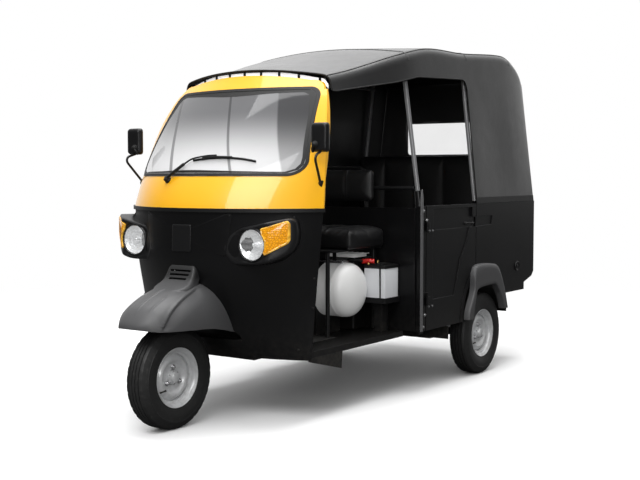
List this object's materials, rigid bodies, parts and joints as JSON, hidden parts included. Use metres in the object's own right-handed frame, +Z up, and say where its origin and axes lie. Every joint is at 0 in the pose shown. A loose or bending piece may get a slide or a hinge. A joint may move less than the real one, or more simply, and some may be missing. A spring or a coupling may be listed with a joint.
{
  "type": "auto rickshaw",
  "caption": "Three-wheeled passenger auto rickshaw with a bowed front cab, folding hood, rear bench, gas cylinder under the driver and half doors.",
  "frame": {"origin": "on the ground, below the middle of the overall length and width", "axes": "+X to the vehicle's left, +Y to its rear, +Z up"},
  "size_m": [1.272, 3.0883, 1.94],
  "materials": {
    "yellow_paint": "gloss",
    "black_paint": "satin",
    "frame_paint": "satin",
    "moulding": "grained",
    "rim_paint": "satin",
    "tyre_rubber": "matt",
    "seal_rubber": "matt",
    "clear_glass": "clear",
    "lamp_glass": "clear",
    "amber_lens": "gloss",
    "red_lens": "gloss",
    "vinyl": "coated",
    "clear_sheet": "clear",
    "seat_vinyl": "grained",
    "cylinder_paint": "gloss",
    "battery_case": "moulded",
    "tank_paint": "satin",
    "bright_steel": "plain",
    "castings": "cast"
  },
  "bodies": {
    "body": {"chassis_frame": "frame_paint", "floor_pan": "black_paint", "wheel_housing": "black_paint", "front_shield": "black_paint", "front_mudguard": "moulding", "lamp_housings": "moulding", "headlamp_lenses": "lamp_glass", "indicator_lenses": "amber_lens", "windscreen_surround": "yellow_paint", "windscreen_seal": "seal_rubber", "windscreen_glass": "clear_glass", "belt_moulding": "moulding", "dashboard": "moulding", "wiper": "moulding", "mirror_arms": "frame_paint", "mirror_heads": "moulding", "partition": "black_paint", "driver_seat": "seat_vinyl", "driver_backrest": "seat_vinyl", "backrest_frame": "frame_paint", "gas_cylinder": "cylinder_paint", "cylinder_straps": "frame_paint", "seat_frame": "frame_paint", "battery": "battery_case", "battery_tray": "frame_paint", "petrol_tank": "tank_paint", "body_sides": "black_paint", "pillar_posts": "black_paint", "passenger_floor": "black_paint", "rear_seat_cushion": "seat_vinyl", "rear_seat_backrest": "seat_vinyl", "rear_panel": "black_paint", "tail_lamps": "red_lens", "rear_fenders": "moulding", "hood_canopy": "vinyl", "rear_window": "clear_sheet", "hood_frame": "frame_paint", "engine_block": "castings", "swing_arms": "frame_paint", "rear_dampers": "frame_paint", "splash_aprons": "moulding"},
    "steering": {"steering_column": "frame_paint", "handlebar": "frame_paint", "front_link": "castings", "front_damper": "frame_paint"},
    "front_wheel": {"front_rim": "rim_paint", "front_tyre": "tyre_rubber"},
    "rear_wheel_left": {"rear_rim_left": "rim_paint", "rear_tyre_left": "tyre_rubber"},
    "rear_wheel_right": {"rear_rim_right": "rim_paint", "rear_tyre_right": "tyre_rubber"},
    "left_door": {"door_left": "black_paint"},
    "right_door": {"door_right": "black_paint"}
  },
  "joints": [
    {"name": "steering_turn", "type": "hinge", "parent": "body", "child": "steering", "pos_m": [0, -1.229, 0.242], "axis": [0, 0.454, 0.891], "range_deg": [-35, 35]},
    {"name": "front_wheel_spin", "type": "hinge", "parent": "steering", "child": "front_wheel", "pos_m": [0, -1.269, 0.242], "axis": [1, 0, 0], "continuous": true},
    {"name": "rear_left_spin", "type": "hinge", "parent": "body", "child": "rear_wheel_left", "pos_m": [0.532, 0.831, 0.242], "axis": [1, 0, 0], "continuous": true},
    {"name": "rear_right_spin", "type": "hinge", "parent": "body", "child": "rear_wheel_right", "pos_m": [-0.532, 0.831, 0.242], "axis": [1, 0, 0], "continuous": true},
    {"name": "left_door_swing", "type": "hinge", "parent": "body", "child": "left_door", "pos_m": [0.608, 0.099, 0.7], "axis": [0, 0, -1], "range_deg": [0, 75]},
    {"name": "right_door_swing", "type": "hinge", "parent": "body", "child": "right_door", "pos_m": [-0.608, 0.099, 0.7], "axis": [0, 0, 1], "range_deg": [0, 75]}
  ]
}
